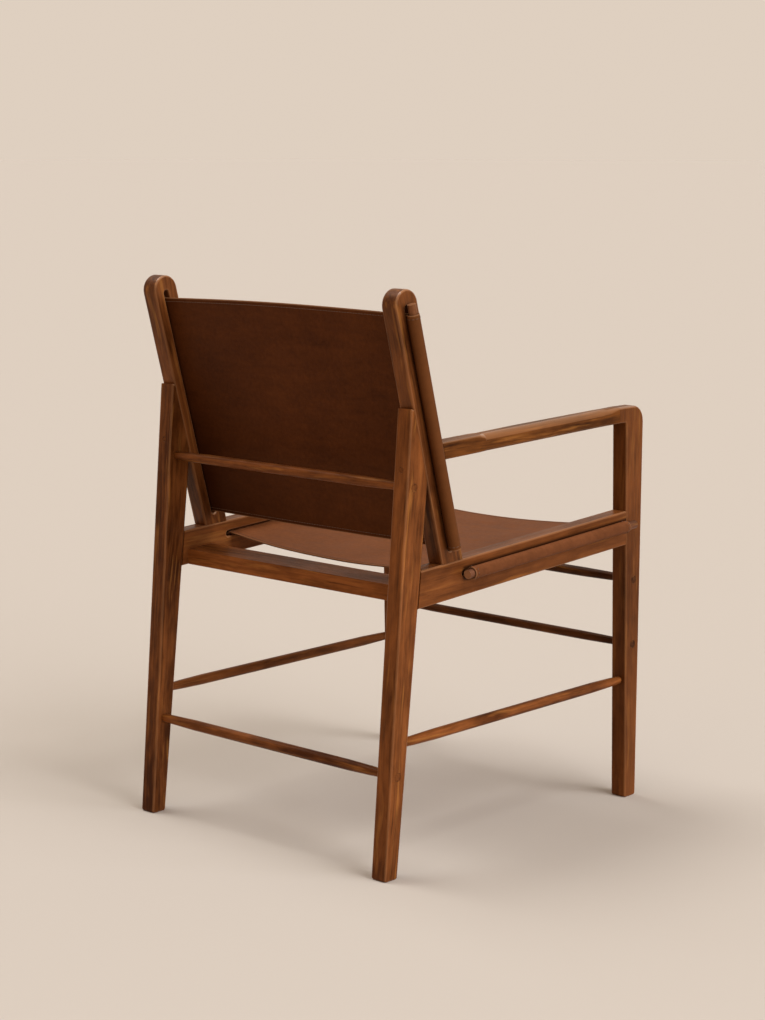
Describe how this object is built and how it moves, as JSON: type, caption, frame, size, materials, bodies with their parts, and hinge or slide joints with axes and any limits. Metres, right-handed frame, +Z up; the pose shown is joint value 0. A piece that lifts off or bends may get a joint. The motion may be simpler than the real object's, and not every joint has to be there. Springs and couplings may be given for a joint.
{
  "type": "dining armchair",
  "caption": "Dining armchair with a dark hardwood frame, a slung leather back and seat looped round dowels outside the frame, raked rear legs and round stretchers.",
  "frame": {"origin": "centre of the footprint on the floor", "axes": "+Z up, front towards -Y, the sitter's left towards +X"},
  "size_m": [0.5498, 0.5926, 0.827],
  "materials": {
    "frame_wood": "dark oiled hardwood boards with eased edges and visible grain, satin",
    "bar_wood": "dark oiled hardwood bars, rounded by hand, satin",
    "pin_wood": "dark oiled hardwood pins, end grain showing",
    "sling_leather": "thick dark brown saddle leather, smooth side out, cut edges showing"
  },
  "bodies": {
    "root": {"rear_leg_left": "frame_wood", "rear_leg_right": "frame_wood", "back_post_left": "frame_wood", "back_post_right": "frame_wood", "side_rail_left": "frame_wood", "side_rail_right": "frame_wood", "front_leg_left": "frame_wood", "front_leg_right": "frame_wood", "armrest_left": "frame_wood", "armrest_right": "frame_wood", "rear_seat_rail": "frame_wood", "back_rail": "bar_wood", "rear_stretcher": "bar_wood", "front_upper_stretcher": "bar_wood", "front_lower_stretcher": "bar_wood", "side_stretcher_left": "bar_wood", "side_stretcher_right": "bar_wood", "back_dowel_left": "bar_wood", "back_dowel_right": "bar_wood", "seat_dowel_left": "bar_wood", "seat_dowel_right": "bar_wood", "leg_peg_left": "pin_wood", "leg_peg_right": "pin_wood", "arm_rear_pin_left": "pin_wood", "arm_rear_pin_right": "pin_wood", "arm_front_pin_left": "pin_wood", "arm_front_pin_right": "pin_wood", "back_leather": "sling_leather", "seat_leather": "sling_leather"}
  },
  "joints": []
}
